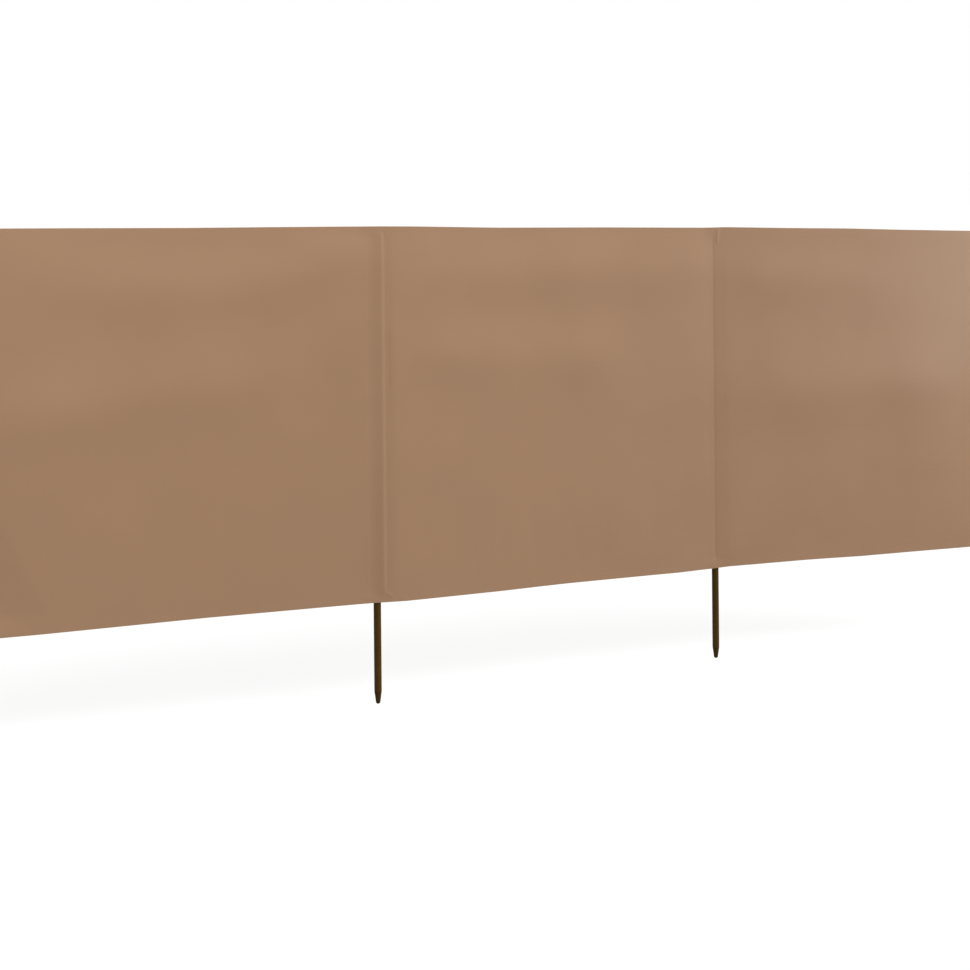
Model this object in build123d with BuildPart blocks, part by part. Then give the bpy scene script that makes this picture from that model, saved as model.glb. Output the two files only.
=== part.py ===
from build123d import *
from math import acos, degrees, sqrt
import os

# A fabric windbreak: three bays of cloth on four round stakes, standing in a slightly bent row.
# Millimetres. +X runs along the row from the first stake, -Y is the front and +Z is up.
# The origin is the blunt point of the first stake.

# Cloth
cloth_length = 4000.0
cloth_height = 1200.0
cloth_thickness = 1.5
bay_count = 3
hem_height = 28.0
hem_fold_radius = 1.2

# How far the inner stakes stand in front of or behind the line between the two end stakes
stake_2_forward = 13.0
stake_3_back = 55.0

# Pocket: the sewn sleeve that each stake slides into from below, nearly flat in front and full behind
cloth_forward = 10.0
pocket_half_width = 34.0
pocket_seam_width = 10.0
pocket_clearance = 0.3
pocket_closing_height = 22.0
pocket_flat_height = 10.0
pocket_flat_bulge = 4.0

# Stake: a steel tube with a plastic point in its lower end and a plastic plug in its upper end
tube_diameter = 24.0
tube_wall = 1.0
stake_below_cloth = 325.0

# Spigot: the many-sided peg on the point and on the plug, which grips the inside of the tube
spigot_sides = 8
insert_clearance = 0.05

# Point
point_taper = 40.0
point_end_diameter = 13.0
point_end_chamfer = 3.5
point_spigot = 30.0

# Plug
plug_head = 3.0
plug_spigot = 16.0

# Sizes worked out from the ones above
tube_radius = tube_diameter / 2
tube_bore_radius = tube_radius - tube_wall
insert_radius = tube_bore_radius - insert_clearance
sleeve_radius = tube_radius + pocket_clearance + cloth_thickness
half_seam = 1.5 * cloth_thickness
bay_length = (cloth_length - 2 * (pocket_half_width + pocket_seam_width)) / bay_count
cloth_bottom = stake_below_cloth
cloth_top = cloth_bottom + cloth_height
panel_bottom = cloth_bottom + cloth_thickness
panel_height = cloth_height - 2 * cloth_thickness
flat_start = cloth_top - pocket_flat_height
closing_start = flat_start - pocket_closing_height
tube_bottom = point_taper
tube_top = closing_start - plug_head
up = Vector(0, 0, 1)

# Plan of the stakes: every bay is equally long, and the row bends at the inner stakes
stakes_forward = [0.0, stake_2_forward, -stake_3_back, 0.0]
stakes = [Vector(0, 0, 0)]
for before, after in zip(stakes_forward, stakes_forward[1:]):
    step_back = before - after
    step_along = sqrt(bay_length**2 - step_back**2)
    stakes.append(stakes[-1] + Vector(step_along, step_back, 0))

# Plan of the pockets: each lies square to the line that halves the bend at its stake
bay_lines = [(after - before).normalized() for before, after in zip(stakes, stakes[1:])]
lines_before = [bay_lines[0]] + bay_lines
lines_after = bay_lines + [bay_lines[-1]]
pocket_ways = [(one + two).normalized() for one, two in zip(lines_before, lines_after)]
pocket_fronts = [way.rotate(Axis.Z, -90) for way in pocket_ways]
seams_left = []
seams_right = []
for stake, way, front in zip(stakes, pocket_ways, pocket_fronts):
    seams_left.append(stake + front * cloth_forward - way * pocket_half_width)
    seams_right.append(stake + front * cloth_forward + way * pocket_half_width)

# Plan of the bays: the cloth runs straight from the seam of one pocket to the seam of the next
panel_spans = [end - start for start, end in zip(seams_right, seams_left[1:])]
panel_ways = [span.normalized() for span in panel_spans]
ways_to_left = [-pocket_ways[0]] + [-way for way in panel_ways]
ways_to_right = panel_ways + [pocket_ways[-1]]

os.makedirs("parts", exist_ok=True)


def save(part, name):
    part.label = name
    export_step(part, f"parts/{name}.step")


def strip_outline(seam, way, forward):
    # Plan of the flat strip beside a pocket, from its front corner on the pocket round to its back one
    tip = seam + way * pocket_seam_width
    return [seam + forward, tip + forward, tip - forward, seam - forward]


def left_outline(index, half_thickness):
    way = ways_to_left[index]
    return strip_outline(seams_left[index], way, way.rotate(Axis.Z, 90) * half_thickness)


def right_outline(index, half_thickness):
    way = ways_to_right[index]
    return strip_outline(seams_right[index], way, way.rotate(Axis.Z, -90) * half_thickness)


def touching_point(core, corner, radius, turn):
    # Where a line from a corner touches the circle of this radius around the core
    reach = corner - core
    angle = degrees(acos(radius / reach.length))
    return core + reach.normalized().rotate(Axis.Z, turn * angle) * radius


def sleeve_section(index, core_forward, radius, left, right, level):
    # Cloth drawn tight around a round core, between the outlines of its two seams
    core = stakes[index] + pocket_fronts[index] * core_forward
    front_left = touching_point(core, left[0], radius, 1)
    front_right = touching_point(core, right[0], radius, -1)
    back_left = touching_point(core, left[-1], radius, -1)
    back_right = touching_point(core, right[-1], radius, 1)
    with BuildSketch(Plane.XY.offset(level)) as section:
        with BuildLine():
            ThreePointArc(front_left, core + pocket_fronts[index] * radius, front_right)
            Polyline(front_right, *right, back_right)
            ThreePointArc(back_right, core - pocket_fronts[index] * radius, back_left)
            Polyline(back_left, *reversed(left), front_left)
        make_face()
    return section.sketch


def make_pocket(index):
    def skin(core_forward, radius, level):
        left = left_outline(index, half_seam)
        right = right_outline(index, half_seam)
        return sleeve_section(index, core_forward, radius, left, right, level)

    def room(core_forward, radius, level):
        # One cloth thickness inside the skin, and closed at the seams
        left = left_outline(index, half_seam - cloth_thickness)
        right = right_outline(index, half_seam - cloth_thickness)
        ends = ([left[0], left[-1]], [right[0], right[-1]])
        return sleeve_section(index, core_forward, radius - cloth_thickness, *ends, level)

    around_stake = (0, sleeve_radius)
    flattened = (cloth_forward, pocket_flat_bulge)
    sleeve_height = closing_start - cloth_bottom
    with BuildPart() as pocket:
        # Sleeve, the closing above the stake, and the flat top
        extrude(skin(*around_stake, cloth_bottom), amount=sleeve_height)
        loft([skin(*around_stake, closing_start), skin(*flattened, flat_start)])
        extrude(skin(*flattened, flat_start), amount=pocket_flat_height)

        # The room for the stake, open at the bottom
        extrude(room(*around_stake, cloth_bottom), amount=sleeve_height, mode=Mode.SUBTRACT)
        closing = [room(*around_stake, closing_start), room(*flattened, flat_start)]
        loft(closing, mode=Mode.SUBTRACT)

        # Slots that hold the edges of the cloth of the bays on either side
        slots = []
        if index > 0:
            slots.append(left_outline(index, cloth_thickness / 2))
        if index < bay_count:
            slots.append(right_outline(index, cloth_thickness / 2))
        for slot in slots:
            with BuildSketch(Plane.XY.offset(panel_bottom)):
                with BuildLine():
                    Polyline(*slot, close=True)
                make_face()
            extrude(amount=panel_height, mode=Mode.SUBTRACT)
    return pocket.part


def make_panel(index):
    # Flat cloth with both side edges inside the seams of its two pockets
    start = seams_right[index] + up * panel_bottom
    with BuildPart() as panel:
        with BuildSketch(Plane(origin=start, x_dir=panel_ways[index])):
            width = panel_spans[index].length
            Rectangle(width, cloth_thickness, align=(Align.MIN, Align.CENTER))
        extrude(amount=panel_height)
    return panel.part


def make_hem(index, edge_level, inward):
    # A fold over the edge of the cloth that lies against its back, sewn down along its free edge
    way = panel_ways[index]
    back = way.rotate(Axis.Z, 90)
    start = seams_right[index] + way * pocket_seam_width + up * edge_level
    half = cloth_thickness / 2
    outer = half + cloth_thickness
    with BuildPart() as hem:
        with BuildSketch(Plane(origin=start, x_dir=back, z_dir=way)) as profile:
            with BuildLine():
                Polyline(
                    (-half, inward * cloth_thickness),
                    (-half, 0),
                    (outer, 0),
                    (outer, inward * hem_height),
                    (half, inward * hem_height),
                    (half, inward * cloth_thickness),
                    close=True,
                )
            make_face()
            fold_corners = profile.vertices().group_by(Axis.Y)[-1 if inward < 0 else 0]
            fillet(fold_corners, radius=hem_fold_radius)
        extrude(amount=panel_spans[index].length - 2 * pocket_seam_width)
    return hem.part


def make_tube(index):
    with BuildPart() as tube:
        with BuildSketch(Plane(origin=stakes[index] + up * tube_bottom)):
            Circle(tube_radius)
            Circle(tube_bore_radius, mode=Mode.SUBTRACT)
        extrude(amount=tube_top - tube_bottom)
    return tube.part


def make_point(index):
    # A blunt cone that carries the tube on its rim, with a spigot inside it
    with BuildPart() as point:
        with BuildSketch(Plane(origin=stakes[index], x_dir=(1, 0, 0), z_dir=(0, -1, 0))) as profile:
            with BuildLine():
                Polyline(
                    (0, 0),
                    (point_end_diameter / 2, 0),
                    (tube_radius, tube_bottom),
                    (0, tube_bottom),
                    close=True,
                )
            make_face()
            end_corner = profile.vertices().group_by(Axis.Y)[0].sort_by(Axis.X)[-1]
            chamfer(end_corner, length=point_end_chamfer)
        revolve(axis=Axis(stakes[index], up))
        with BuildSketch(Plane(origin=stakes[index] + up * tube_bottom)):
            RegularPolygon(insert_radius, spigot_sides)
        extrude(amount=point_spigot)
    return point.part


def make_plug(index):
    # A low round head on the end of the tube, with a spigot inside it
    with BuildPart() as plug:
        with BuildSketch(Plane(origin=stakes[index] + up * tube_top)):
            Circle(tube_radius)
        extrude(amount=plug_head)
        with BuildSketch(Plane(origin=stakes[index] + up * tube_top)):
            RegularPolygon(insert_radius, spigot_sides)
        extrude(amount=-plug_spigot)
    return plug.part


for i in range(bay_count):
    save(make_panel(i), f"cloth_bay_{i + 1}")
    save(make_hem(i, cloth_top, -1), f"top_hem_{i + 1}")
    save(make_hem(i, cloth_bottom, 1), f"bottom_hem_{i + 1}")

for i in range(bay_count + 1):
    save(make_pocket(i), f"stake_pocket_{i + 1}")
    save(make_tube(i), f"stake_tube_{i + 1}")
    save(make_point(i), f"stake_point_{i + 1}")
    save(make_plug(i), f"stake_plug_{i + 1}")
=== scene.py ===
"""Fabric windbreak: its cloth, hems, stake pockets, stitching and stakes, with their finishes and a stage."""

import math

import bmesh
import bpy
import numpy as np
from bpy.props import FloatProperty, FloatVectorProperty, PointerProperty
from mathutils import Matrix, Vector


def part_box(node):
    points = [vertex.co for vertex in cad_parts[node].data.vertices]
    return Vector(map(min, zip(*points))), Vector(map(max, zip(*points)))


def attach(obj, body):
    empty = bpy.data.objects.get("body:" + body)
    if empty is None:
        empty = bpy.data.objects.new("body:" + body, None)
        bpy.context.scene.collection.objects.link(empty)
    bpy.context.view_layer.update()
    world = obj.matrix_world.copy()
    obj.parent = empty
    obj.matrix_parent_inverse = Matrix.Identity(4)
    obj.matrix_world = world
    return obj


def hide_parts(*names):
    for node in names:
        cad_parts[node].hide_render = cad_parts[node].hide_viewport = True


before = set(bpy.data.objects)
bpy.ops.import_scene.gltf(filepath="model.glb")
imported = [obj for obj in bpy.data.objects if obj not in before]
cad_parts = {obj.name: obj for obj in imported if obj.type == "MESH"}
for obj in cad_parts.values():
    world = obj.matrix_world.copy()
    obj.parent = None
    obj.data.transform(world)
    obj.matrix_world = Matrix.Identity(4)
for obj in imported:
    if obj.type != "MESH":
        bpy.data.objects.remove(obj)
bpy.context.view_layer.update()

bl_info = {
    "name": "Fabric windbreak",
    "version": (1, 0, 0),
    "blender": (4, 5, 0),
    "location": "3D View > Sidebar > Windbreak",
    "description": "Cloth, hems, pockets, stitching and finishes for a fabric windbreak on round stakes",
    "category": "Add Mesh",
}

BAYS = (1, 2, 3)
STAKES = (1, 2, 3, 4)

# Sizes of the row in metres: four read from the model, then those of its sewing
CLOTH_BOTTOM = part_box("bottom_hem_1")[0][2]
CLOTH_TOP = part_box("top_hem_1")[1][2]
STAKE_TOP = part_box("stake_plug_1")[1][2]
STAKE_RADIUS = (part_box("stake_tube_1")[1][0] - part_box("stake_tube_1")[0][0]) / 2.0
CLOTH_FORWARD = 0.010
POCKET_HALF = 0.034
SEAM_WIDTH = 0.010
POCKET_REACH = POCKET_HALF + SEAM_WIDTH
FLAT_HEIGHT = 0.010
FLAT_START = CLOTH_TOP - FLAT_HEIGHT
HEM_HEIGHT = 0.028
HEM_STITCH = 0.025
# The side of each end stake that has no bay
OUTER_SIDES = {1: -1, 4: 1}

# Hem fold: how far it stands off the cloth's back, how far inside it the cloth ends, the height of its
# middle, and depth and height of its corners in front and behind and of the bevel on its free edge
HEM_BULK = 0.0011
CLOTH_INSET = 0.0009
HEM_MIDDLE = 0.012
FRONT_CORNER = (0.0007, 0.0008)
BACK_CORNER = (0.0008, 0.0009)
HEM_BEVEL = (0.0003, 0.0004)
# Between which distances from an edge doubled cloth ends, and how near a seam the layers meet
DOUBLED_TO = (0.026, 0.0295)
SEAM_EASE = 0.006

# Stitches: the share of the pitch that each fills, width, thickness, and distance off the cloth
STITCH_SHARE = 0.78
STITCH_WIDTH, STITCH_THICKNESS = 0.0007, 0.0005
STITCH_PROUD = 0.0001
# How far short of their ends rows of stitches stop, and the rise of the row over a stake
HEM_ROW_GAP, SEAM_ROW_GAP, CROSS_ROW_GAP = 0.002, 0.003, 0.004
TOP_ROW_RISE = 0.002

# Steps between mesh points along the cloth, and how far from a seam they stay small
BAY_STEP, HEM_STEP, FINE_STEP = 0.0098, 0.004, 0.003
UNDER_SEAM_STEP, SEAM_EDGE_STEP = 0.0033, 0.0002
FINE_REACH, HEM_FINE_REACH = 0.045, 0.032
# The same as stops with the step to the next: across a pocket, and as shares of the cloth's height
POCKET_STOPS = ((-POCKET_REACH, 0.0022), (-0.012, 0.0012), (0.012, 0.0022), (POCKET_REACH,))
POCKET_SHARES = ((0.0, 0.003), (0.04, 0.012), (0.93, 0.003), (1.0,))
BAY_SHARES = ((0.0, 0.0035), (0.034, 0.0098), (0.966, 0.0035), (1.0,))

# Rise of the cloth's edges: metres along the cloth, and millimetres above the drawn level
TOP_EDGE = (
    (0.00, -5.5), (0.33, -3.4), (0.69, -2.1), (0.96, 0.8), (1.20, 3.0), (1.42, 3.9), (1.75, 1.1),
    (2.16, 3.4), (2.58, 3.6), (2.66, 5.6), (2.90, 2.8), (3.16, 1.4), (3.42, -3.6), (3.70, -7.4), (3.91, -8.0),
)
BOTTOM_EDGE = (
    (0.00, -3.6), (0.25, -3.2), (0.45, -1.3), (0.75, 1.6), (1.28, 0.6), (1.34, 0.0), (1.40, -2.0),
    (1.75, -4.3), (2.00, -2.9), (2.45, -6.4), (2.58, -4.6), (2.66, -1.2), (2.98, -1.5), (3.22, -5.0),
    (3.45, -4.2), (3.91, -4.0),
)

# Slope of the cloth across each pocket: millimetres from the stake, and degrees towards the front
END_POCKET = ((-40, 0), (-28, 5), (-12, 8), (-3, 2), (3, -2), (12, -8), (28, -5), (40, 0))
POCKET_SLOPES = {
    1: END_POCKET,
    2: (
        (-60, 0), (-40, 0), (-30, 3), (-16, 7), (-6, 10.5), (8, 12), (14, 10.5), (17.5, 6), (19.5, -5),
        (22, -9), (26, -8), (28.5, 0), (32, 4.5), (40, 7.5), (47, 6.5), (56, 4), (66, 1.5), (78, 0),
    ),
    3: (
        (-60, 0), (-35, -1.5), (-20, -2), (-6, -1), (-4, 13), (-0.5, 13), (2, 7), (12, 6.5),
        (23, 6), (35, 3), (49, 1.5), (64, 0),
    ),
    4: END_POCKET,
}
# How far forward the cloth is where it reaches each pocket, and how far below the stake's top it comes off
POCKET_LEAD = {1: 0.0, 2: 0.0, 3: 0.0026, 4: 0.0}
POCKET_SLACK = {1: 0.006, 2: 0.006, 3: 0.036, 4: 0.006}
# A pocket's profile: its ends, its step, and where the cloth comes forward, crosses over and goes back
PROFILE_ENDS, PROFILE_STEP = (-0.45, 0.66), 0.00025
LEAD_ZONE, POCKET_ZONE, RETURN_ZONE = (-0.40, -0.06), (-0.06, 0.08), (0.08, 0.62)
# Cloth pulled tight over the stake at the mouth: how far forward it stands, its reach to each side,
# and between which heights above the edge it goes over into the profile
MOUTH_DEPTH, MOUTH_REACH = 0.0022, 0.055
MOUTH_HEIGHTS = (0.014, 0.044)
# Arch in which the profile ends above the stake: its height and reach
ARCH_HEIGHT, ARCH_REACH = 0.006, 0.030
# Least distance from the cloth to a stake, and in what depth and height that ends above it
STAKE_GAP = 0.0003
RELEASE_DEPTH, RELEASE_HEIGHT = 0.02, 0.010
# The back of a pocket: its distance from the stake, and its slack with two waves, each as a share of
# the depth, radians per metre along and up, and the phase
SLEEVE_GAP, SLEEVE_SLACK = 0.0014, 0.10
SLEEVE_WAVES = ((0.06, 40.0, 21.0, 0.0), (0.04, 0.0, 57.0, 1.0))

# Soft folds: where each starts and ends along the cloth and in height, half width and depth
SOFT_FOLDS = (
    ((0.22, 1.345), (1.02, 1.333), 0.095, 0.0062),
    ((0.92, 1.345), (1.30, 1.450), 0.080, 0.0042),
    ((0.02, 0.930), (0.98, 1.070), 0.110, 0.0075),
    ((-0.02, 0.740), (0.11, 0.480), 0.090, -0.0075),
    ((0.11, 0.500), (0.12, 0.200), 0.090, -0.0075),
    ((0.15, 0.640), (0.27, 0.380), 0.022, 0.0008),
    ((1.40, 1.372), (2.72, 1.380), 0.090, 0.0052),
    ((1.42, 1.100), (2.20, 1.085), 0.100, 0.0055),
    ((2.72, 1.350), (3.30, 1.345), 0.085, 0.0050),
    ((2.74, 0.950), (3.60, 0.950), 0.125, 0.0080),
)
# Little ridges where the cloth is gathered over the stakes, in the same form
CREASES = (
    ((2.623, 1.526), (2.619, 1.474), 0.0060, 0.0013),
    ((1.352, 0.340), (1.330, 0.356), 0.0050, 0.0010),
)
# Slow waves: depth in metres, radians per metre along and up, and the phase
WAVES = ((0.0005, 14.0, 3.0, 0.4), (0.0004, -6.0, 9.0, 1.9))
# Puckers: the depth of a quick wave, and that wave and the one it swells with in the same form
PUCKERS = (
    (0.00024, (88.0, 2.0, 0.0), (23.0, 11.0, 0.0)),
    (0.00020, (61.0, -5.0, 1.3), (13.0, -17.0, 0.0)),
)
# Between which heights the puckers end, and their middle, reach and least share along the cloth
PUCKER_HEIGHTS = (0.48, 0.82)
PUCKER_SPREAD = (1.80, 0.42, 0.35)
# Share of the folds left at the edges, and how far from the bottom and top edge they are full
FOLD_AT_EDGE = 0.25
FOLD_FADES = (0.07, 0.06)
# Half the width of a turn in the plan, and how far beside a pocket the cloth stays tucked
CORNER_HALF, TUCK_REACH = 0.012, 0.080


# Plan and shape of the cloth


def plan_of_the_row():
    """Corners of the cloth's plan and the stakes' places along it.

    Each pocket is a straight piece square to the line that halves the bend at its stake, and each bay runs
    straight from one pocket to the next. Length along the cloth is 0 at the first stake.
    """
    boxes = [np.array(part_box(f"stake_tube_{n}"), float) for n in STAKES]
    places = np.array([box.mean(axis=0)[:2] for box in boxes])
    lines = np.diff(places, axis=0)
    lines /= np.linalg.norm(lines, axis=1)[:, None]
    ways = np.vstack([lines[:1], lines]) + np.vstack([lines, lines[-1:]])
    ways /= np.linalg.norm(ways, axis=1)[:, None]
    fronts = np.stack([ways[:, 1], -ways[:, 0]], axis=1)
    middles = places + fronts * CLOTH_FORWARD
    left, right = middles - ways * POCKET_HALF, middles + ways * POCKET_HALF
    corners = np.stack([left, right], axis=1).reshape(-1, 2)
    corners[0] = middles[0] - ways[0] * POCKET_REACH
    corners[-1] = middles[-1] + ways[-1] * POCKET_REACH
    steps = np.diff(corners, axis=0)
    along = np.concatenate([[0.0], np.cumsum(np.linalg.norm(steps, axis=1))]) - POCKET_REACH
    turns = np.arctan2(steps[:, 1], steps[:, 0])
    stakes = np.concatenate([[0.0], along[2:-1:2] + POCKET_HALF])
    return {"corners": corners, "along": along, "turns": turns, "stakes": stakes}


ROW = plan_of_the_row()


def eased(x, low, high):
    """0 up to low, 1 from high on, and 3q² − 2q³ of the share q of the way between them."""
    share = np.clip((x - low) / (high - low), 0.0, 1.0)
    return share * share * (3.0 - 2.0 * share)


def plan_point(along):
    """Place in plan at a length along the cloth: straight lines between the plan's corners."""
    return np.stack([np.interp(along, ROW["along"], places) for places in ROW["corners"].T], axis=-1)


def plan_front(along):
    """Unit vector towards the front in plan, turning evenly over a short way on each side of a corner."""
    inner = ROW["along"][1:-1]
    knots = np.stack([inner - CORNER_HALF, inner + CORNER_HALF], axis=1).ravel()
    turns = np.stack([ROW["turns"][:-1], ROW["turns"][1:]], axis=1).ravel()
    turn = np.interp(along, knots, turns)
    return np.stack([np.sin(turn), -np.cos(turn)], axis=-1)


def edge_heights(along):
    """Heights of the cloth's bottom and top edge: the drawn levels plus lines between the stops."""
    heights = []
    for level, stops in ((CLOTH_BOTTOM, BOTTOM_EDGE), (CLOTH_TOP, TOP_EDGE)):
        places, rises = np.array(stops).T
        heights.append(level + np.interp(along, places, rises) / 1000.0)
    return heights


def pocket_profile(stake):
    """Forward distance of the cloth against the distance from a stake, as a broad part and a local part.

    Both together are the slope added up from left to right, with a lead before the pocket and a slow return
    after it. The broad part leaves out the pocket itself: it goes over it in one smooth step.
    """
    away = np.arange(*PROFILE_ENDS, PROFILE_STEP)
    places, slopes = np.array(POCKET_SLOPES[stake], float).T
    slope = np.tan(np.radians(np.interp(away * 1000.0, places, slopes)))
    forward = np.cumsum(slope) * PROFILE_STEP
    lead = POCKET_LEAD[stake]
    net = forward[-1] + lead
    forward = forward + lead * eased(away, *LEAD_ZONE) - net * eased(away, *RETURN_ZONE)
    before, after = np.interp(POCKET_ZONE, away, forward)
    step = before + (after - before) * eased(away, *POCKET_ZONE)
    broad = np.where((away > POCKET_ZONE[0]) & (away < POCKET_ZONE[1]), step, forward)
    return away, broad, forward - broad


PROFILES = {stake: pocket_profile(stake) for stake in STAKES}


def ridges(along, height, lines):
    """Sum of straight ridges: depth · exp(−(d/w)²) at a distance d from each line, tapered at its ends."""
    total = np.zeros(np.broadcast(along, height).shape)
    for (from_along, from_height), (to_along, to_height), width, depth in lines:
        line = np.array([to_along - from_along, to_height - from_height])
        length = np.hypot(*line)
        line = line / length
        run = (along - from_along) * line[0] + (height - from_height) * line[1]
        across = (height - from_height) * line[0] - (along - from_along) * line[1]
        taper = eased(run, -0.2 * length, 0.25 * length) * (1.0 - eased(run, 0.75 * length, 1.2 * length))
        total = total + depth * np.exp(-((across / width) ** 2)) * taper
    return total


def from_stakes(along):
    """Distance along the cloth to the nearest stake."""
    return np.min(np.abs(along[..., None] - ROW["stakes"]), axis=-1)


def wave(along, height, run, rise, phase):
    """Sine of run · along + rise · height + phase."""
    return np.sin(run * along + rise * height + phase)


def cloth_relief(along, height, settings):
    """How far the cloth stands in front of its plan: pocket profiles, folds, creases and waves, added up.

    The local part of a pocket's profile dies away above the stake's top, and at the mouth it goes over into
    the low arch of cloth pulled tight over the stake. The folds get lower towards the hems, and the puckers,
    products of sine waves, keep to the lower half. Last, the cloth is kept in front of each stake: no further
    back than the stake's front less a²/2r at a distance a from the axis of a stake of radius r.
    """
    bottom, top = edge_heights(along)
    relief = np.zeros(np.broadcast(along, height).shape)
    for stake in STAKES:
        away = along - ROW["stakes"][stake - 1]
        places, broad, local = PROFILES[stake]
        local = settings.pocket_relief * np.interp(away, places, local)
        depth = max(MOUTH_DEPTH - float(np.interp(0.0, places, broad)), 0.0)
        tight = depth * np.clip(1.0 - (away / MOUTH_REACH) ** 2, 0.0, 1.0) ** 2
        local = tight + (local - tight) * eased(height - bottom, *MOUTH_HEIGHTS)
        arch = ARCH_HEIGHT * np.clip(1.0 - (away / ARCH_REACH) ** 2, -1.0, 1.0)
        low, high = STAKE_TOP - POCKET_SLACK[stake] + arch, top - FLAT_HEIGHT + arch
        local = local * (1.0 - eased(height, low, high))
        relief = relief + settings.pocket_relief * np.interp(away, places, broad) + local

    folds = ridges(along, height, SOFT_FOLDS)
    for depth, *slow in WAVES:
        folds = folds + depth * wave(along, height, *slow)
    middle, reach, least = PUCKER_SPREAD
    spread = (1.0 - eased(height, *PUCKER_HEIGHTS)) * (np.exp(-(((along - middle) / reach) ** 2)) + least)
    for depth, quick, swell in PUCKERS:
        folds = folds + depth * wave(along, height, *quick) * wave(along, height, *swell) * spread
    inside = eased(height - bottom, 0.0, FOLD_FADES[0]) * eased(top - height, 0.0, FOLD_FADES[1])
    folds = folds * (FOLD_AT_EDGE + (1.0 - FOLD_AT_EDGE) * inside)
    relief = relief + settings.fold_depth * folds + ridges(along, height, CREASES)

    stake_front = STAKE_RADIUS - CLOTH_FORWARD + STAKE_GAP - from_stakes(along) ** 2 / (2.0 * STAKE_RADIUS)
    held = RELEASE_DEPTH * eased(height, STAKE_TOP, STAKE_TOP + RELEASE_HEIGHT)
    return np.maximum(relief, stake_front - held)


def tuck(along, thickness):
    """How far a bay's cloth comes forward beside a pocket, so that both lie flush: one thickness, faded out.

    Inside the seam, where the cloth lies under the pocket, it is nothing.
    """
    beside = from_stakes(along) - POCKET_REACH
    return np.where(beside < -1e-5, 0.0, thickness * (1.0 - eased(beside, 0.0, TUCK_REACH)))


def on_cloth(along, height, lift, settings):
    """Point of the cloth's middle surface, moved towards the front by its relief and by lift."""
    along, height, lift = np.broadcast_arrays(along, height, lift)
    forward = cloth_relief(along, height, settings) + lift
    plan = plan_point(along) + plan_front(along) * forward[..., None]
    return np.concatenate([plan, height[..., None]], axis=-1)


def spaced(*stops):
    """Numbers from the first stop to the last; each stop but the last comes with the step up to the next."""
    runs = []
    for (start, step), after in zip(stops, stops[1:]):
        end = after[0]
        runs.append(np.linspace(start, end, max(1, round(abs(end - start) / step)), endpoint=False))
    return np.concatenate(runs + [[stops[-1][0]]])


def place_on_cloth(along, height):
    """Metres along the cloth and up from its bottom edge, the two coordinates of its map."""
    return np.stack(np.broadcast_arrays(along, height - CLOTH_BOTTOM), axis=-1)


def cloth_marks(along, height):
    """The cloth's map, and how far it is doubled by a hem: 1 near both edges and eased to 0 further in."""
    bottom, top = edge_heights(along)
    near = np.minimum(height - bottom, top - height)
    return {"Cloth": place_on_cloth(along, height), "Layers": 1.0 - eased(near, *DOUBLED_TO)}


# Meshes: each shape is its points, a list of arrays of faces, and its marks, which are values for each point


def grid_faces(rows, columns, first=0):
    """Quads of a grid of points that is stored row by row."""
    corner = first + np.arange(rows - 1)[:, None] * columns + np.arange(columns - 1)[None, :]
    corner = corner.ravel()
    return np.stack([corner, corner + 1, corner + columns + 1, corner + columns], axis=1)


def thick_sheet(points, marks, thickness):
    """A closed sheet: the grid of points moved half the thickness each way along its normal, joined by rims.

    The normal is the cross product of the grid's two central differences.
    """
    rows, columns = points.shape[:2]
    normal = np.cross(np.gradient(points, axis=1), np.gradient(points, axis=0))
    normal /= np.linalg.norm(normal, axis=2, keepdims=True)
    half = normal * thickness / 2.0
    flat = np.concatenate([(points + half).reshape(-1, 3), (points - half).reshape(-1, 3)])
    count = rows * columns
    index = np.arange(count).reshape(rows, columns)
    rim = np.concatenate([index[0, :], index[1:, -1], index[-1, -2::-1], index[-2:0:-1, 0]])
    after = np.roll(rim, -1)
    faces = [grid_faces(rows, columns), grid_faces(rows, columns, count)[:, ::-1]]
    faces.append(np.stack([after, rim, rim + count, after + count], axis=1))
    return flat, faces, {key: np.concatenate([v.reshape(count, -1)] * 2) for key, v in marks.items()}


def swept_loop(rings, marks):
    """A closed bar: rings of points, one for each station, joined in order, with a face over each end."""
    index = np.arange(rings[..., 0].size).reshape(rings.shape[:2])
    after = np.roll(index, -1, axis=1)
    sides = np.stack([index[:-1], after[:-1], after[1:], index[1:]], axis=-1).reshape(-1, 4)
    marks = {key: v.reshape(index.size, -1) for key, v in marks.items()}
    return rings.reshape(-1, 3), [sides, index[[0, -1]]], marks


def stitches(centres, ways, outs, length):
    """Stitches: each a bar of two square rings of points with a tip at each end, lying along its way."""
    sides = np.cross(outs, ways)
    along = np.repeat([-1.0, -0.62, 0.62, 1.0], [1, 4, 4, 1]) * length / 2.0
    beside = np.array([0, 1, 0, -1, 0, 1, 0, -1, 0, 0]) * STITCH_WIDTH / 2.0
    above = np.array([-0.5, 0, 1, 0, -1, 0, 1, 0, -1, -0.5]) * STITCH_THICKNESS / 2.0
    points = centres[:, None] + along[:, None] * ways[:, None] + beside[:, None] * sides[:, None]
    points = points + above[:, None] * outs[:, None]
    ring = np.arange(4)
    after = (ring + 1) % 4
    first, last = 1 + ring, 5 + ring
    middle = np.stack([first, last, 5 + after, 1 + after], axis=1)
    first_tip = np.stack([np.full(4, 0), first, 1 + after], axis=1)
    last_tip = np.stack([np.full(4, 9), 5 + after, last], axis=1)
    shift = len(along) * np.arange(len(centres))[:, None, None]
    quads = (middle + shift).reshape(-1, 4)
    triangles = (np.concatenate([first_tip, last_tip]) + shift).reshape(-1, 3)
    places = centres[:, None, [0, 2]] + np.stack([along, beside], axis=1)
    return points.reshape(-1, 3), [quads, triangles], {"Cloth": places.reshape(-1, 2)}


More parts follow.
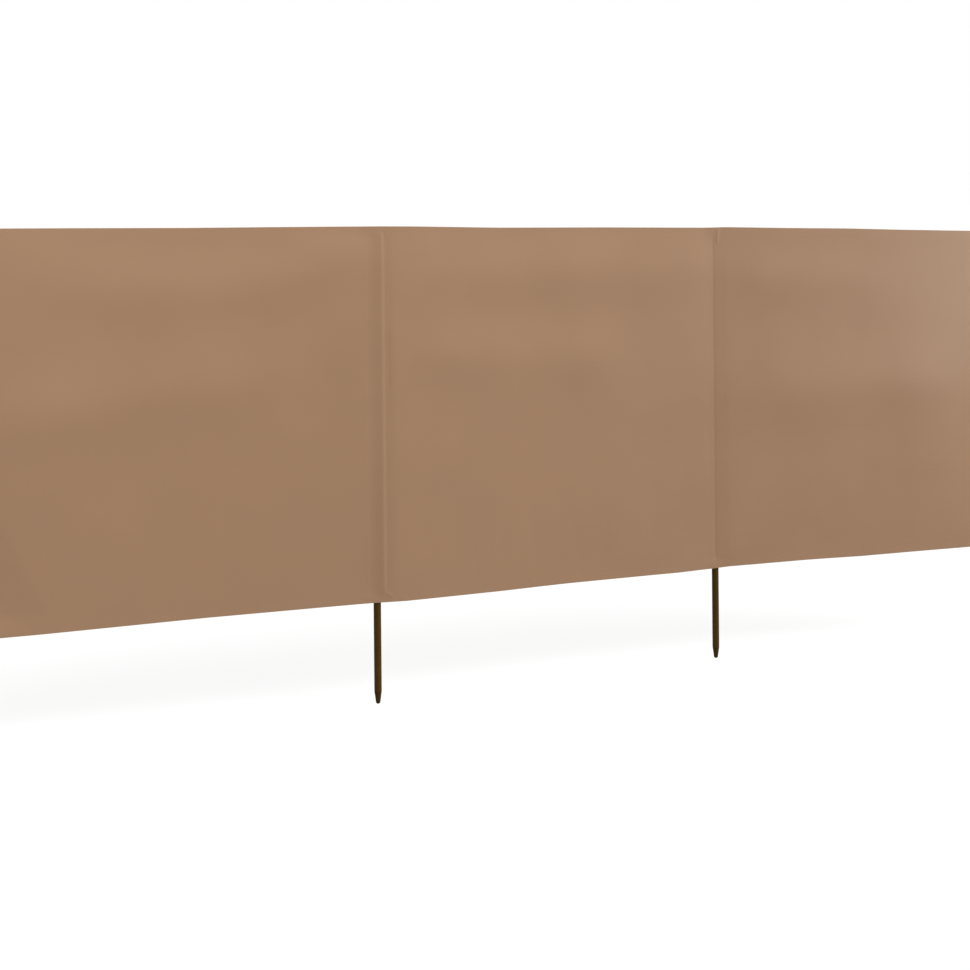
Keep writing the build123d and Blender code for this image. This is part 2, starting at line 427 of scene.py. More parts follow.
def joined(parts):
    """Several meshes as one: their points one after another, and faces moved on by the points before them."""
    points, faces, marks = zip(*parts)
    starts = np.cumsum([0] + [len(part) for part in points])
    faces = [block + start for part, start in zip(faces, starts) for block in part]
    return np.concatenate(points), faces, {"Cloth": np.concatenate([part["Cloth"] for part in marks])}


def new_object(name, data):
    """A new object with this data, linked to the scene."""
    made = bpy.data.objects.new(name, data)
    bpy.context.scene.collection.objects.link(made)
    return made


def make_piece(name, shape, material, replaces=(), crease=55.0):
    """Puts a shape into a new object that rides on the row, with its UV map and marks, faces outwards."""
    points, faces, marks = shape
    mesh = bpy.data.meshes.new(name)
    mesh.from_pydata(points.tolist(), [], [face for block in faces for face in block.tolist()])
    corner = np.zeros(len(mesh.loops), np.int32)
    mesh.loops.foreach_get("vertex_index", corner)
    mesh.uv_layers.new(name="Cloth").data.foreach_set("uv", marks["Cloth"][corner].astype(np.float32).ravel())
    if "Layers" in marks:
        layers = mesh.attributes.new("Layers", "FLOAT", "POINT")
        layers.data.foreach_set("value", marks["Layers"].astype(np.float32).ravel())
    work = bmesh.new()
    work.from_mesh(mesh)
    bmesh.ops.recalc_face_normals(work, faces=work.faces)
    work.to_mesh(mesh)
    work.free()
    mesh.shade_smooth()
    mesh.set_sharp_from_angle(angle=math.radians(crease))
    mesh.materials.append(bpy.data.materials[material])
    piece = new_object(name, mesh)
    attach(piece, "root")
    if replaces:
        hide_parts(*replaces)


# Shader nodes

DOUBLED_COLOUR = (0.365, 0.212, 0.122)
WORN_COAT = (0.16, 0.12, 0.08)
WORN_PLASTIC = (0.12, 0.09, 0.06)


def new_group(name, inputs, outputs):
    """An empty shader group with these sockets; inputs are (name, kind, default) and outputs (name, kind)."""
    group = bpy.data.node_groups.new(name, "ShaderNodeTree")
    for label, kind, default in inputs:
        socket = group.interface.new_socket(name=label, in_out="INPUT", socket_type=f"NodeSocket{kind}")
        if default is not None:
            socket.default_value = default
    for label, kind in outputs:
        group.interface.new_socket(name=label, in_out="OUTPUT", socket_type=f"NodeSocket{kind}")
    return group, group.nodes.new("NodeGroupInput").outputs, group.nodes.new("NodeGroupOutput").inputs


def feed(tree, socket, value):
    """Links a socket to another one, or sets its value."""
    if isinstance(value, bpy.types.NodeSocket):
        tree.links.new(value, socket)
    else:
        socket.default_value = value


def fill(tree, node, **values):
    """Feeds a node's inputs by name and gives its outputs; underscores in the names stand for spaces."""
    for label, value in values.items():
        feed(tree, node.inputs[label.replace("_", " ")], value)
    return node.outputs


def math_node(tree, operation, *values, kind="Math"):
    """The result of a Math or VectorMath node with these values in order."""
    node = tree.nodes.new(f"ShaderNode{kind}")
    node.operation = operation
    for socket, value in zip(node.inputs, values):
        feed(tree, socket, value)
    return node.outputs[0]


def noise(tree, vector, scale, detail):
    """Fractal noise round 0.5."""
    node = tree.nodes.new("ShaderNodeTexNoise")
    return fill(tree, node, Vector=vector, Scale=scale, Detail=detail, Roughness=0.55)["Fac"]


def mapped(tree, value, source, target):
    """Carries a value from one range over to another with soft ends."""
    node = tree.nodes.new("ShaderNodeMapRange")
    node.interpolation_type = "SMOOTHSTEP"
    for socket, number in zip(node.inputs, (value, *source, *target)):
        feed(tree, socket, number)
    return node.outputs["Result"]


def mixed(tree, share, first, second, kind="RGBA"):
    """The first value, gone over into the second by this share."""
    node = tree.nodes.new("ShaderNodeMix")
    node.data_type = kind
    return fill(tree, node, Factor=share, A=first, B=second)["Result"]


def placed(tree, group, **values):
    """Places a shader group in a material and feeds its inputs."""
    node = tree.nodes.new("ShaderNodeGroup")
    node.node_tree = bpy.data.node_groups[group]
    return fill(tree, node, **values)


def bump(tree, height, distance, strength, **normal):
    """A bumped normal, on top of another one if that is given as Normal."""
    node = tree.nodes.new("ShaderNodeBump")
    return fill(tree, node, Strength=strength, Distance=distance, Height=height, **normal)["Normal"]


def weave_group():
    """Plain weave: warp and weft threads, each a rounded ridge, pass over each other in a chequer; the second
    output is painted shade in the low gaps between them.
    """
    inputs = (("Vector", "Vector", None), ("Pitch", "Float", 0.0008))
    group, given, result = new_group("Plain weave", inputs, (("Height", "Float"), ("Gap", "Float")))
    scale = math_node(group, "DIVIDE", 1.0, given["Pitch"])
    threads = math_node(group, "MULTIPLY", given["Vector"], scale, kind="VectorMath")
    axes = fill(group, group.nodes.new("ShaderNodeSeparateXYZ"), Vector=threads)
    waves = [math_node(group, "SINE", math_node(group, "MULTIPLY", axes[n], math.pi)) for n in (0, 1)]
    warp, weft = (math_node(group, "ABSOLUTE", wave) for wave in waves)
    cells = math_node(group, "ADD", *(math_node(group, "FLOOR", axes[n]) for n in (0, 1)))
    over = math_node(group, "FLOORED_MODULO", cells, 2.0)
    under = math_node(group, "SUBTRACT", 1.0, over)
    warp = math_node(group, "MULTIPLY", warp, math_node(group, "MULTIPLY_ADD", over, 0.5, 0.5))
    weft = math_node(group, "MULTIPLY", weft, math_node(group, "MULTIPLY_ADD", under, 0.5, 0.5))
    height = math_node(group, "MAXIMUM", warp, weft)
    feed(group, result["Height"], height)
    # Painted shade: 1 in the low gaps between the threads, 0 on their tops
    feed(group, result["Gap"], mapped(group, height, (0.25, 0.6), (1.0, 0.0)))


def mottle_group():
    """Uneven tone: broad patches and a finer streak along the weft, as a value round 0.5."""
    inputs = (("Vector", "Vector", None), ("Patch size", "Float", 0.3), ("Streaks", "Float", 0.3))
    group, given, result = new_group("Mottle", inputs, (("Value", "Float"),))
    patches = noise(group, given["Vector"], math_node(group, "DIVIDE", 1.0, given["Patch size"]), 4.0)
    stretched = math_node(group, "MULTIPLY", given["Vector"], (3.0, 160.0, 3.0), kind="VectorMath")
    streaks = noise(group, stretched, 1.0, 2.0)
    feed(group, result["Value"], mixed(group, given["Streaks"], patches, streaks, kind="FLOAT"))


def scuff_group():
    """Scuffs: thin scratches where a stretched noise is highest, and dull spots, each as a mask."""
    inputs = (("Vector", "Vector", None), ("Amount", "Float", 0.5))
    group, given, result = new_group("Scuffs", inputs, (("Scratches", "Float"), ("Dull", "Float")))
    stretched = math_node(group, "MULTIPLY", given["Vector"], (900.0, 900.0, 60.0), kind="VectorMath")
    scratches, spots = noise(group, stretched, 1.0, 2.0), noise(group, given["Vector"], 70.0, 3.0)
    least = math_node(group, "MULTIPLY_ADD", given["Amount"], -0.12, 0.74)
    feed(group, result["Scratches"], mapped(group, scratches, (least, 0.80), (0.0, 1.0)))
    feed(group, result["Dull"], mapped(group, spots, (0.45, 0.70), (0.0, 1.0)))


def new_material(name):
    """Node tree and surface shader of a new material."""
    material = bpy.data.materials.new(name)
    material.use_nodes = True
    return material.node_tree, material.node_tree.nodes["Principled BSDF"]


def with_tone(colour, share=1.0):
    """The same colour made lighter or darker by this share."""
    return (*[channel * share for channel in colour], 1.0)


def cloth_place(tree):
    """A place on the cloth, from the map of its own piece."""
    node = tree.nodes.new("ShaderNodeUVMap")
    node.uv_map = "Cloth"
    return node.outputs["UV"]


def cloth_material(settings):
    """Woven polyester: uneven brown, with painted shade between its threads, and a little lighter where it is
    doubled.
    """
    tree, surface = new_material("Woven cloth")
    place = cloth_place(tree)
    weave = placed(tree, "Plain weave", Vector=place, Pitch=settings.thread_pitch)
    mottle = placed(tree, "Mottle", Vector=place, Patch_size=0.22, Streaks=0.25)["Value"]
    layers = tree.nodes.new("ShaderNodeAttribute")
    layers.attribute_name = "Layers"
    dark, light = with_tone(settings.colour, 0.98), with_tone(settings.colour, 1.02)
    colour = mixed(tree, mapped(tree, mottle, (0.3, 0.7), (0.0, 1.0)), dark, light)
    doubled = math_node(tree, "MULTIPLY", layers.outputs["Fac"], 0.3)
    colour = mixed(tree, doubled, colour, with_tone(DOUBLED_COLOUR))
    # Painted shade between the threads: the colour goes darker where the weave is low
    painted_gap_shade = math_node(tree, "MULTIPLY", weave["Gap"], 0.16)
    creases = bump(tree, mottle, distance=0.0006, strength=0.35)
    fill(
        tree, surface,
        Base_Color=mixed(tree, painted_gap_shade, colour, with_tone(settings.colour, 0.5)),
        Roughness=mapped(tree, mottle, (0.3, 0.7), (0.40, 0.48)),
        Specular_IOR_Level=0.4,
        Sheen_Weight=0.06,
        Sheen_Roughness=0.5,
        Normal=bump(tree, weave["Height"], distance=0.00008, strength=0.6, Normal=creases),
    )


def thread_material(settings):
    """Sewing thread: two twisted strands, as slanted ridges along each stitch, with painted shade in the
    grooves between them and painted light on their ridges.
    """
    tree, surface = new_material("Sewing thread")
    ridge = tree.nodes.new("ShaderNodeTexWave")
    ridge.bands_direction = "DIAGONAL"
    strands = fill(tree, ridge, Vector=cloth_place(tree), Scale=700.0, Distortion=0.6)["Fac"]
    # Painted shade and light: the colour is darker in the grooves between the strands and lighter on their
    # ridges
    dark, light = with_tone(settings.thread_colour, 0.75), with_tone(settings.thread_colour, 1.1)
    fill(
        tree, surface,
        Base_Color=mixed(tree, strands, dark, light),
        Roughness=mapped(tree, strands, (0.0, 1.0), (0.7, 0.5)),
        Sheen_Weight=0.2,
        Normal=bump(tree, strands, distance=0.0001, strength=0.6),
    )


def worn_low_down(tree, heights, least):
    """The place on a stake's piece, its wear, from 1 at the ground end to least above it, and its scuffs."""
    place = tree.nodes.new("ShaderNodeTexCoord").outputs["Object"]
    axes = fill(tree, tree.nodes.new("ShaderNodeSeparateXYZ"), Vector=place)
    wear = mapped(tree, axes["Z"], heights, (1.0, least))
    return place, wear, placed(tree, "Scuffs", Vector=place, Amount=wear)


def coat_material(settings):
    """Powder coat: satin brown with a fine orange peel, dull spots and a few scratches near the ground."""
    tree, surface = new_material("Powder coat")
    place, wear, scuffs = worn_low_down(tree, (0.05, 0.30), 0.15)
    dark, light = with_tone(settings.coat_colour, 0.8), with_tone(settings.coat_colour, 1.25)
    colour = mixed(tree, noise(tree, place, 18.0, 4.0), dark, light)
    worn = math_node(tree, "MULTIPLY", scuffs["Scratches"], math_node(tree, "MULTIPLY", wear, 0.5))
    peel = bump(tree, noise(tree, place, 1100.0, 2.0), distance=0.00008, strength=0.35)
    fill(
        tree, surface,
        Base_Color=mixed(tree, worn, colour, with_tone(WORN_COAT)),
        Roughness=mapped(tree, scuffs["Dull"], (0.0, 1.0), (0.40, 0.56)),
        Specular_IOR_Level=0.08,
        Normal=bump(tree, scuffs["Scratches"], distance=0.00005, strength=0.4, Normal=peel),
    )


def plastic_material(settings):
    """Moulded plastic: dark brown with a fine spark-eroded grain, scratched where it goes into the ground."""
    tree, surface = new_material("Moulded plastic")
    place, wear, scuffs = worn_low_down(tree, (0.0, 0.06), 0.3)
    dark, light = with_tone(settings.plastic_colour, 0.8), with_tone(settings.plastic_colour, 1.2)
    colour = mixed(tree, noise(tree, place, 30.0, 3.0), dark, light)
    worn = math_node(tree, "MULTIPLY", scuffs["Scratches"], 0.4)
    fill(
        tree, surface,
        Base_Color=mixed(tree, worn, colour, with_tone(WORN_PLASTIC)),
        Roughness=mapped(tree, scuffs["Dull"], (0.0, 1.0), (0.48, 0.66)),
        Specular_IOR_Level=0.08,
        Normal=bump(tree, noise(tree, place, 1800.0, 2.0), distance=0.00006, strength=0.4),
    )


# Settings


class ClothSettings(bpy.types.PropertyGroup):
    """Sizes and colours of the cloth and its sewing."""

    colour: FloatVectorProperty(
        name="Cloth colour", description="Colour of the cloth", subtype="COLOR",
        default=(0.352, 0.205, 0.114),
    )
    thread_colour: FloatVectorProperty(
        name="Thread colour", description="Colour of the sewing", subtype="COLOR",
        default=(0.37, 0.222, 0.134),
    )
    thickness: FloatProperty(
        name="Thickness", description="Thickness of one layer of cloth", unit="LENGTH", default=0.00035
    )
    thread_pitch: FloatProperty(
        name="Weave pitch", description="Distance between woven threads", unit="LENGTH", default=0.0008
    )
    stitch_pitch: FloatProperty(
        name="Stitch pitch", description="Distance between stitches", unit="LENGTH", default=0.0036
    )
    fold_depth: FloatProperty(
        name="Fold depth", description="How deep the soft folds are", subtype="FACTOR", default=1.0
    )
    pocket_relief: FloatProperty(
        name="Pocket relief", description="How far stakes push the cloth out", subtype="FACTOR", default=1.0
    )


class StakeSettings(bpy.types.PropertyGroup):
    """Colours of the stakes."""

    coat_colour: FloatVectorProperty(
        name="Coat colour", description="Colour of the tubes", subtype="COLOR",
        default=(0.066, 0.034, 0.0045),
    )
    plastic_colour: FloatVectorProperty(
        name="Plastic colour", description="Colour of points and plugs", subtype="COLOR",
        default=(0.050, 0.027, 0.0045),
    )


class StageSettings(bpy.types.PropertyGroup):
    """Camera and light."""

    lens: FloatProperty(name="Focal length", description="In millimetres for a 36 mm frame", default=62.41)
    camera_place: FloatVectorProperty(
        name="Camera place", description="Where the camera stands", subtype="TRANSLATION", unit="LENGTH",
        default=(-0.5509, -5.0853, 1.3848),
    )
    heading: FloatProperty(
        name="Heading", description="Turn to the right", subtype="ANGLE", default=math.radians(23.857)
    )
    roll: FloatProperty(
        name="Roll", description="Sideways tilt", subtype="ANGLE", default=math.radians(-0.534)
    )
    frame_shift: FloatProperty(
        name="Frame shift", description="Rise of the frame as a share of its width", default=-0.2213
    )
    key_strength: FloatProperty(name="Main light", description="Wide light from the right", default=2.30)
    fill_power: FloatProperty(
        name="Fill lamp", description="Power of the soft lamp at the upper left", unit="POWER", default=61.0
    )
    top_power: FloatProperty(
        name="Top lamp", description="Power of the long lamp above the row", unit="POWER", default=25.0
    )
    side_power: FloatProperty(
        name="Side lamp", description="Power of the soft lamp at the right end", unit="POWER", default=11.5
    )
    back_strength: FloatProperty(name="Back light", description="Weak light from behind", default=1.3)
    ambient: FloatProperty(name="Ambient light", description="Light from all round", default=0.24)


# Operators


def bay_ends(bay, inset):
    """Places along the cloth this far inside the two stakes of a bay."""
    return ROW["stakes"][bay - 1] + inset, ROW["stakes"][bay] - inset


class WINDBREAK_OT_finishes(bpy.types.Operator):
    """Makes the shader groups and the finishes of cloth, thread and stakes"""

    bl_idname = "windbreak.finishes"
    bl_label = "Finishes"

    def execute(self, context):
        for build in (weave_group, mottle_group, scuff_group):
            build()
        for build in (cloth_material, thread_material):
            build(context.scene.windbreak_cloth)
        for build in (coat_material, plastic_material):
            build(context.scene.windbreak_stakes)
        return {"FINISHED"}


class WINDBREAK_OT_bays(bpy.types.Operator):
    """Makes the cloth of each bay: one sheet from seam to seam, with soft folds"""

    bl_idname = "windbreak.bays"
    bl_label = "Cloth bays"

    def execute(self, context):
        settings = context.scene.windbreak_cloth
        for bay in BAYS:
            start, end = bay_ends(bay, POCKET_HALF)
            first, last = start + SEAM_WIDTH, end - SEAM_WIDTH
            along = spaced(
                (start, UNDER_SEAM_STEP), (first - SEAM_EDGE_STEP, SEAM_EDGE_STEP), (first, FINE_STEP),
                (start + FINE_REACH, BAY_STEP), (end - FINE_REACH, FINE_STEP), (last, SEAM_EDGE_STEP),
                (last + SEAM_EDGE_STEP, UNDER_SEAM_STEP), (end,),
            )[None, :]
            bottom, top = edge_heights(along)
            low, high = bottom + CLOTH_INSET, top - CLOTH_INSET
            height = low + spaced(*BAY_SHARES)[:, None] * (high - low)
            points = on_cloth(along, height, tuck(along, settings.thickness), settings)
            shape = thick_sheet(points, cloth_marks(along, height), settings.thickness)
            make_piece(f"bay_cloth_{bay}", shape, "Woven cloth", [f"cloth_bay_{bay}"])
        return {"FINISHED"}


def hem_rings(along, edge, settings):
    """Rings of a folded hem: round under the edge of the cloth and up its back, following the cloth's relief.

    Both corners of the fold are quarter ellipses.
    """
    half = settings.thickness / 2.0
    turns = np.radians(np.linspace(0.0, 90.0, 5))
    deep, high = 1.0 - np.cos(turns), 1.0 - np.sin(turns)
    back = -half - HEM_BULK
    bevel_depth, bevel_height = HEM_BEVEL
    lift = np.concatenate([
        half - FRONT_CORNER[0] * deep, back + BACK_CORNER[0] * deep[::-1],
        [back, back, back + bevel_depth, -half, -half, half],
    ])
    rise = np.concatenate([
        FRONT_CORNER[1] * high, BACK_CORNER[1] * high[::-1],
        [HEM_MIDDLE, HEM_HEIGHT - bevel_height, HEM_HEIGHT, HEM_HEIGHT, CLOTH_INSET, CLOTH_INSET],
    ])
    bottom, top = edge_heights(along)
    height = (top[:, None] - rise) if edge == "top" else (bottom[:, None] + rise)
    along = along[:, None]
    points = on_cloth(along, height, lift + tuck(along, settings.thickness), settings)
    marks = {"Cloth": place_on_cloth(along, height + 4.0 * np.abs(lift)), "Layers": np.ones(height.shape)}
    return points, marks


class WINDBREAK_OT_hems(bpy.types.Operator):
    """Makes the hems folded over the top and bottom edge of each bay"""

    bl_idname = "windbreak.hems"
    bl_label = "Hems"

    def execute(self, context):
        settings = context.scene.windbreak_cloth
        for bay in BAYS:
            start, end = bay_ends(bay, POCKET_REACH)
            fine_end, fine_start = start + HEM_FINE_REACH, end - HEM_FINE_REACH
            along = spaced((start, HEM_STEP), (fine_end, BAY_STEP), (fine_start, HEM_STEP), (end,))
            for edge in ("top", "bottom"):
                shape = swept_loop(*hem_rings(along, edge, settings))
                make_piece(f"{edge}_hem_fold_{bay}", shape, "Woven cloth", [f"{edge}_hem_{bay}"])
        return {"FINISHED"}


def sleeve_back(stake, along, height, settings):
    """How far the back of a pocket stands in front of the cloth's plan: less than nothing round the stake.

    Behind the stake it is a circle round the stake's axis, and beside it the straight line from the seam that
    touches that circle, drawn in a little. Above the stake and at the seams it goes over into the cloth.
    """
    away = along - ROW["stakes"][stake - 1]
    radius = STAKE_RADIUS + SLEEVE_GAP
    reach = math.hypot(POCKET_HALF, CLOTH_FORWARD)
    touch = math.acos(radius / reach) - math.atan2(CLOTH_FORWARD, POCKET_HALF)
    touch_away, touch_depth = radius * math.cos(touch), CLOTH_FORWARD + radius * math.sin(touch)
    distance = np.abs(away)
    circle = CLOTH_FORWARD + np.sqrt(np.clip(radius**2 - distance**2, 0.0, None))
    share = np.clip((POCKET_HALF - distance) / (POCKET_HALF - touch_away), 0.0, 1.0)
    slack = SLEEVE_SLACK + sum(depth * wave(away, height, *slow) for depth, *slow in SLEEVE_WAVES)
    line = touch_depth * share * (1.0 - slack * np.sin(np.pi * share) * (1.0 - share))
    depth = np.where(distance < touch_away, circle, line)
    closed = eased(height, STAKE_TOP, FLAT_START)
    with_cloth = np.maximum(closed, eased(distance, touch_away, POCKET_HALF))
    return with_cloth * cloth_relief(along, height, settings) - depth * (1.0 - closed)


def pocket_rows(stake, away, settings):
    """Grid of a pocket's cloth: up the front, over the top edge in a half circle, and down the back.

    Gives the lengths, heights and lifts. The layers stand a thickness off the middle at a seam with the cloth
    of a bay in it, and half a thickness elsewhere.
    """
    along = (ROW["stakes"][stake - 1] + away)[None, :]
    bottom, top = edge_heights(along)
    seam = eased(np.abs(away), POCKET_HALF - SEAM_EASE, POCKET_HALF) * (away * OUTER_SIDES.get(stake, 0) <= 0)
    layer = settings.thickness * (0.5 + 0.5 * seam)[None, :]
    height = bottom + spaced(*POCKET_SHARES)[:, None] * (top - layer - bottom)
    turns = np.radians(np.linspace(15.0, 165.0, 6))[:, None]
    back_height = height[::-1]
    back = sleeve_back(stake, along, back_height, settings) - cloth_relief(along, back_height, settings)
    heights = np.concatenate([height, top - layer + layer * np.sin(turns), back_height])
    lifts = np.concatenate([np.broadcast_to(layer, height.shape), layer * np.cos(turns), back - layer])
    return np.broadcast_to(along, heights.shape), heights, lifts


class WINDBREAK_OT_pockets(bpy.types.Operator):
    """Makes the pockets: cloth folded over the top edge, drawn round each stake and sewn on both sides"""

    bl_idname = "windbreak.pockets"
    bl_label = "Stake pockets"

    def execute(self, context):
        settings = context.scene.windbreak_cloth
        for stake in STAKES:
            along, height, lift = pocket_rows(stake, spaced(*POCKET_STOPS), settings)
            points = on_cloth(along, height, lift, settings)
            shape = thick_sheet(points, cloth_marks(along, height), settings.thickness)
            make_piece(f"pocket_cloth_{stake}", shape, "Woven cloth", [f"stake_pocket_{stake}"])
        return {"FINISHED"}


def stitch_row(along, height, lift, side, settings):
    """Centres, directions and outward normals of stitches along a line on the cloth, by small differences."""
    along, height, lift = np.broadcast_arrays(along, height, lift)
    points = on_cloth(along, height, lift, settings)
    ways = np.gradient(points, axis=0)
    ways /= np.linalg.norm(ways, axis=1)[:, None]
    front = np.concatenate([plan_front(along), np.zeros((len(along), 1))], axis=1) * side
    outs = front - ways * (front * ways).sum(axis=1)[:, None]
    return points, ways, outs / np.linalg.norm(outs, axis=1)[:, None]


def both_faces(along, height, front, back):
    """A line of stitches on the front of the cloth and the same on its back, a little proud of both faces."""
    return [(along, height, front + STITCH_PROUD, 1.0), (along, height, back - STITCH_PROUD, -1.0)]


def stitch_piece(name, rows, settings):
    """One piece of many stitches, from rows of (along, height, lift, side)."""
    length = settings.stitch_pitch * STITCH_SHARE
    parts = [stitches(*stitch_row(*row, settings), length) for row in rows]
    make_piece(name, joined(parts), "Sewing thread", crease=75.0)


class WINDBREAK_OT_stitching(bpy.types.Operator):
    """Makes the stitches of the hems and the pockets"""

    bl_idname = "windbreak.stitching"
    bl_label = "Stitching"

    def execute(self, context):
        settings = context.scene.windbreak_cloth
        pitch, thickness = settings.stitch_pitch, settings.thickness
        half = thickness / 2.0
        for bay in BAYS:
            start, end = bay_ends(bay, POCKET_REACH + HEM_ROW_GAP)
            along = np.arange(start, end, pitch)
            bottom, top = edge_heights(along)
            forward = tuck(along, thickness)
            rows = []
            for height in (bottom + HEM_STITCH, top - HEM_STITCH):
                rows += both_faces(along, height, forward + half, forward - half - HEM_BULK)
            stitch_piece(f"hem_stitching_{bay}", rows, settings)
        for stake in STAKES:
            middle = ROW["stakes"][stake - 1]
            bottom, top = (float(edge) for edge in edge_heights(middle))
            height = np.arange(bottom + SEAM_ROW_GAP, top - SEAM_ROW_GAP, pitch)
            rows = []
            for side in (-1, 1):
                depth = half + (half if OUTER_SIDES.get(stake) == side else thickness)
                rows += both_faces(middle + side * (POCKET_HALF + SEAM_WIDTH / 2.0), height, depth, -depth)
            across = middle + np.arange(-POCKET_HALF + CROSS_ROW_GAP, POCKET_HALF - CROSS_ROW_GAP, pitch)
            height = np.full(across.shape, bottom + HEM_STITCH)
            back = sleeve_back(stake, across, height, settings) - cloth_relief(across, height, settings)
            rows += both_faces(across, height, thickness, back - thickness)
            rows += both_faces(across, FLAT_START + TOP_ROW_RISE, thickness, -thickness)
            stitch_piece(f"pocket_stitching_{stake}", rows, settings)
        return {"FINISHED"}


class WINDBREAK_OT_sheets(bpy.types.Operator):
    """Does nothing: this step makes no piece and changes no setting"""

    bl_idname = "windbreak.sheets"
    bl_label = "Cut sizes"

    def execute(self, context):
        return {"FINISHED"}


class WINDBREAK_OT_stakes(bpy.types.Operator):
    """Finishes the stakes: powder coat on the tubes, moulded plastic on the points and plugs"""

    bl_idname = "windbreak.stakes"
    bl_label = "Stakes"

    def execute(self, context):
        plastic = "Moulded plastic"
        finishes = {"stake_tube": "Powder coat", "stake_point": plastic, "stake_plug": plastic}
        for stake in STAKES:
            for name, material in finishes.items():
                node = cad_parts[f"{name}_{stake}"]
                node.data.materials.clear()
                node.data.materials.append(bpy.data.materials[material])
        return {"FINISHED"}


WHITE, BLACK = (1.0, 1.0, 1.0, 1.0), (0.0, 0.0, 0.0, 1.0)
FLOOR_REACH, FLOOR_LEVEL = 30.0, -0.0004
FILM_WIDTH = 36.0
WIDE_SUN = {"angle": math.radians(28.0)}
# Lamps: name, kind, place, aim, the setting with its strength, and its form
LAMPS = (
    ("main_light", "SUN", (7.9, -4.9, 7.3), (2.0, 0.0, 0.9), "key_strength", WIDE_SUN),
    ("fill_lamp", "AREA", (-1.4, -3.4, 3.9), (0.6, 0.0, 1.3), "fill_power", {"size": 2.4}),
    (
        "top_lamp", "AREA", (1.5, -1.6, 3.6), (1.5, 0.0, 1.1), "top_power",
        {"shape": "RECTANGLE", "size": 5.0, "size_y": 0.6},
    ),
    ("side_lamp", "AREA", (5.05, -1.2, 1.35), (4.0, 0.0, 1.3), "side_power", {"size": 0.7}),
    ("back_light", "SUN", (1.0, 6.0, 5.0), (2.0, 0.0, 0.9), "back_strength", WIDE_SUN),
)


def camera_only(tree):
    """1 for what the camera sees, also by gloss or through glass, and 0 for other light."""
    path = tree.nodes.new("ShaderNodeLightPath").outputs
    seen = math_node(tree, "MAXIMUM", path["Is Camera Ray"], path["Is Glossy Ray"])
    return math_node(tree, "MAXIMUM", seen, path["Is Transmission Ray"])


def make_floor():
    """Pale floor that looks white to the camera and keeps a soft shadow."""
    tree, surface = new_material("Studio floor")
    seen = camera_only(tree)
    fill(
        tree, surface,
        Base_Color=mixed(tree, seen, (0.30, 0.30, 0.30, 1.0), (0.18, 0.18, 0.18, 1.0)),
        Roughness=0.95,
        Specular_IOR_Level=0.0,
        Emission_Strength=0.86,
        Emission_Color=mixed(tree, seen, BLACK, WHITE),
    )
    mesh = bpy.data.meshes.new("floor")
    low, high = -FLOOR_REACH, FLOOR_REACH
    corners = [(x, y, FLOOR_LEVEL) for x, y in ((low, low), (high, low), (high, high), (low, high))]
    mesh.from_pydata(corners, [], [(0, 1, 2, 3)])
    mesh.materials.append(bpy.data.materials["Studio floor"])
    new_object("floor", mesh)


def light_surroundings(scene, strength):
    """An even white light from all round, which the camera sees as plain white."""
    world = scene.world or bpy.data.worlds.new("Studio")
    scene.world = world
    world.use_nodes = True
    tree = world.node_tree
    tree.nodes.clear()
    lit = fill(tree, tree.nodes.new("ShaderNodeBackground"), Color=WHITE, Strength=strength)[0]
    seen = fill(tree, tree.nodes.new("ShaderNodeBackground"), Color=WHITE, Strength=1.0)[0]
    mix, out = tree.nodes.new("ShaderNodeMixShader"), tree.nodes.new("ShaderNodeOutputWorld")
    for socket, value in zip(mix.inputs, (camera_only(tree), lit, seen)):
        feed(tree, socket, value)
    fill(tree, out, Surface=mix.outputs[0])


def stage_light(name, kind, place, aim, strength, **form):
    """A lamp at a place, turned to an aim."""
    lamp = bpy.data.lights.new(name, kind)
    lamp.energy = strength
    for key, value in form.items():
        setattr(lamp, key, value)
    turned = (Vector(aim) - Vector(place)).to_track_quat("-Z", "Y").to_matrix().to_4x4()
    new_object(name, lamp).matrix_world = Matrix.Translation(place) @ turned


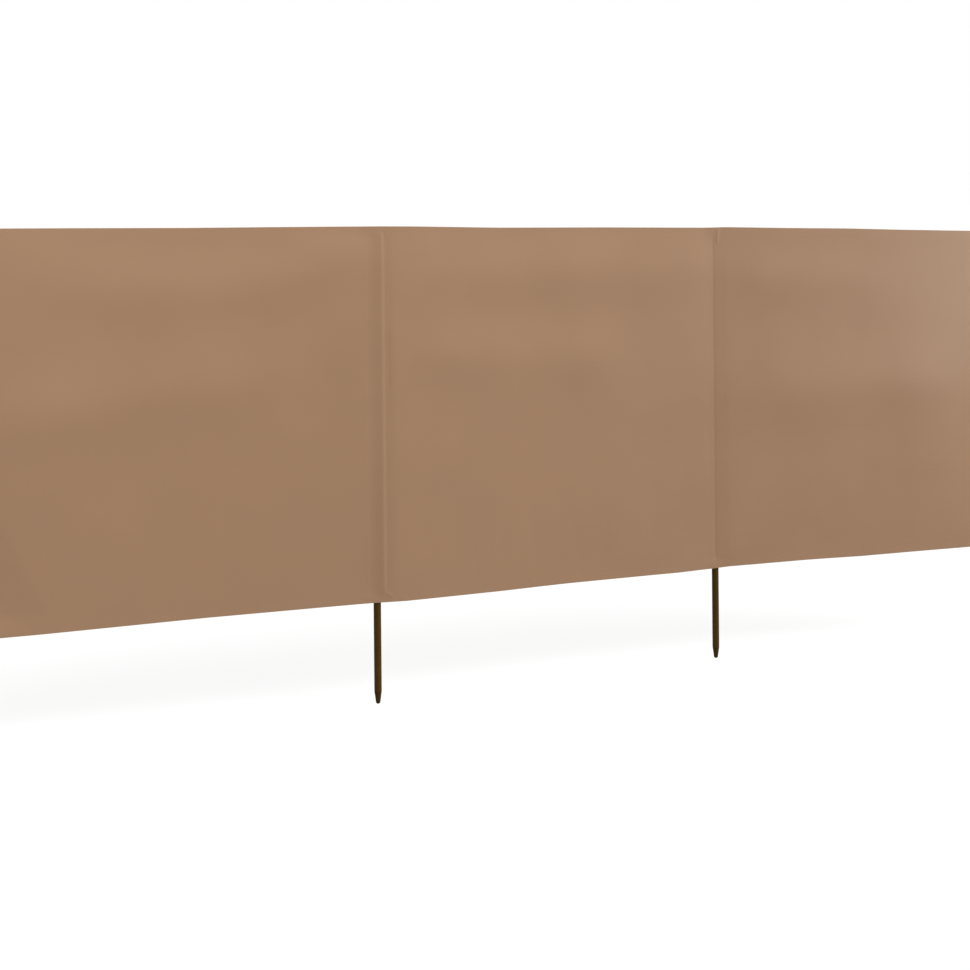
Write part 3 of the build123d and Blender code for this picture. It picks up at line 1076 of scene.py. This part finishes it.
class WINDBREAK_OT_stage(bpy.types.Operator):
    """Makes the floor, the surrounding light, the lamps and the camera"""

    bl_idname = "windbreak.stage"
    bl_label = "Stage"

    def execute(self, context):
        scene, settings = context.scene, context.scene.windbreak_stage
        make_floor()
        light_surroundings(scene, settings.ambient)
        for name, kind, place, aim, strength, form in LAMPS:
            stage_light(name, kind, place, aim, getattr(settings, strength), **form)

        camera = bpy.data.cameras.new("camera")
        camera.sensor_width = FILM_WIDTH
        camera.lens = settings.lens
        camera.shift_y = settings.frame_shift
        camera.clip_end = 200.0
        turned = Matrix.Rotation(-settings.heading, 4, "Z") @ Matrix.Rotation(math.radians(90.0), 4, "X")
        turned = turned @ Matrix.Rotation(settings.roll, 4, "Z")
        scene.camera = new_object("camera", camera)
        scene.camera.matrix_world = Matrix.Translation(settings.camera_place) @ turned
        scene.view_settings.view_transform = "Standard"
        return {"FINISHED"}


class WINDBREAK_PT_panel(bpy.types.Panel):
    """Lists the settings and the steps"""

    bl_idname = "WINDBREAK_PT_panel"
    bl_label = "Windbreak"
    bl_space_type = "VIEW_3D"
    bl_region_type = "UI"
    bl_category = "Windbreak"

    def draw(self, context):
        for group in SETTINGS:
            settings = getattr(context.scene, group)
            box = self.layout.box()
            box.label(text=group.removeprefix("windbreak_").title())
            for name in settings.__annotations__:
                box.prop(settings, name)
        for step in STEPS:
            self.layout.operator(step.bl_idname)


SETTINGS = {
    "windbreak_cloth": ClothSettings,
    "windbreak_stakes": StakeSettings,
    "windbreak_stage": StageSettings,
}
STEPS = (
    WINDBREAK_OT_finishes,
    WINDBREAK_OT_bays,
    WINDBREAK_OT_hems,
    WINDBREAK_OT_pockets,
    WINDBREAK_OT_stitching,
    WINDBREAK_OT_sheets,
    WINDBREAK_OT_stakes,
    WINDBREAK_OT_stage,
)


def register():
    for name, settings in SETTINGS.items():
        bpy.utils.register_class(settings)
        setattr(bpy.types.Scene, name, PointerProperty(type=settings))
    for step in (*STEPS, WINDBREAK_PT_panel):
        bpy.utils.register_class(step)


def unregister():
    for step in (WINDBREAK_PT_panel, *reversed(STEPS)):
        bpy.utils.unregister_class(step)
    for name, settings in reversed(SETTINGS.items()):
        delattr(bpy.types.Scene, name)
        bpy.utils.unregister_class(settings)


def main():
    """Makes every piece in order."""
    register()
    bpy.ops.windbreak.finishes()
    bpy.ops.windbreak.bays()
    bpy.ops.windbreak.hems()
    bpy.ops.windbreak.pockets()
    bpy.ops.windbreak.stitching()
    bpy.ops.windbreak.sheets()
    bpy.ops.windbreak.stakes()
    bpy.ops.windbreak.stage()


if __name__ == "__main__":
    main()
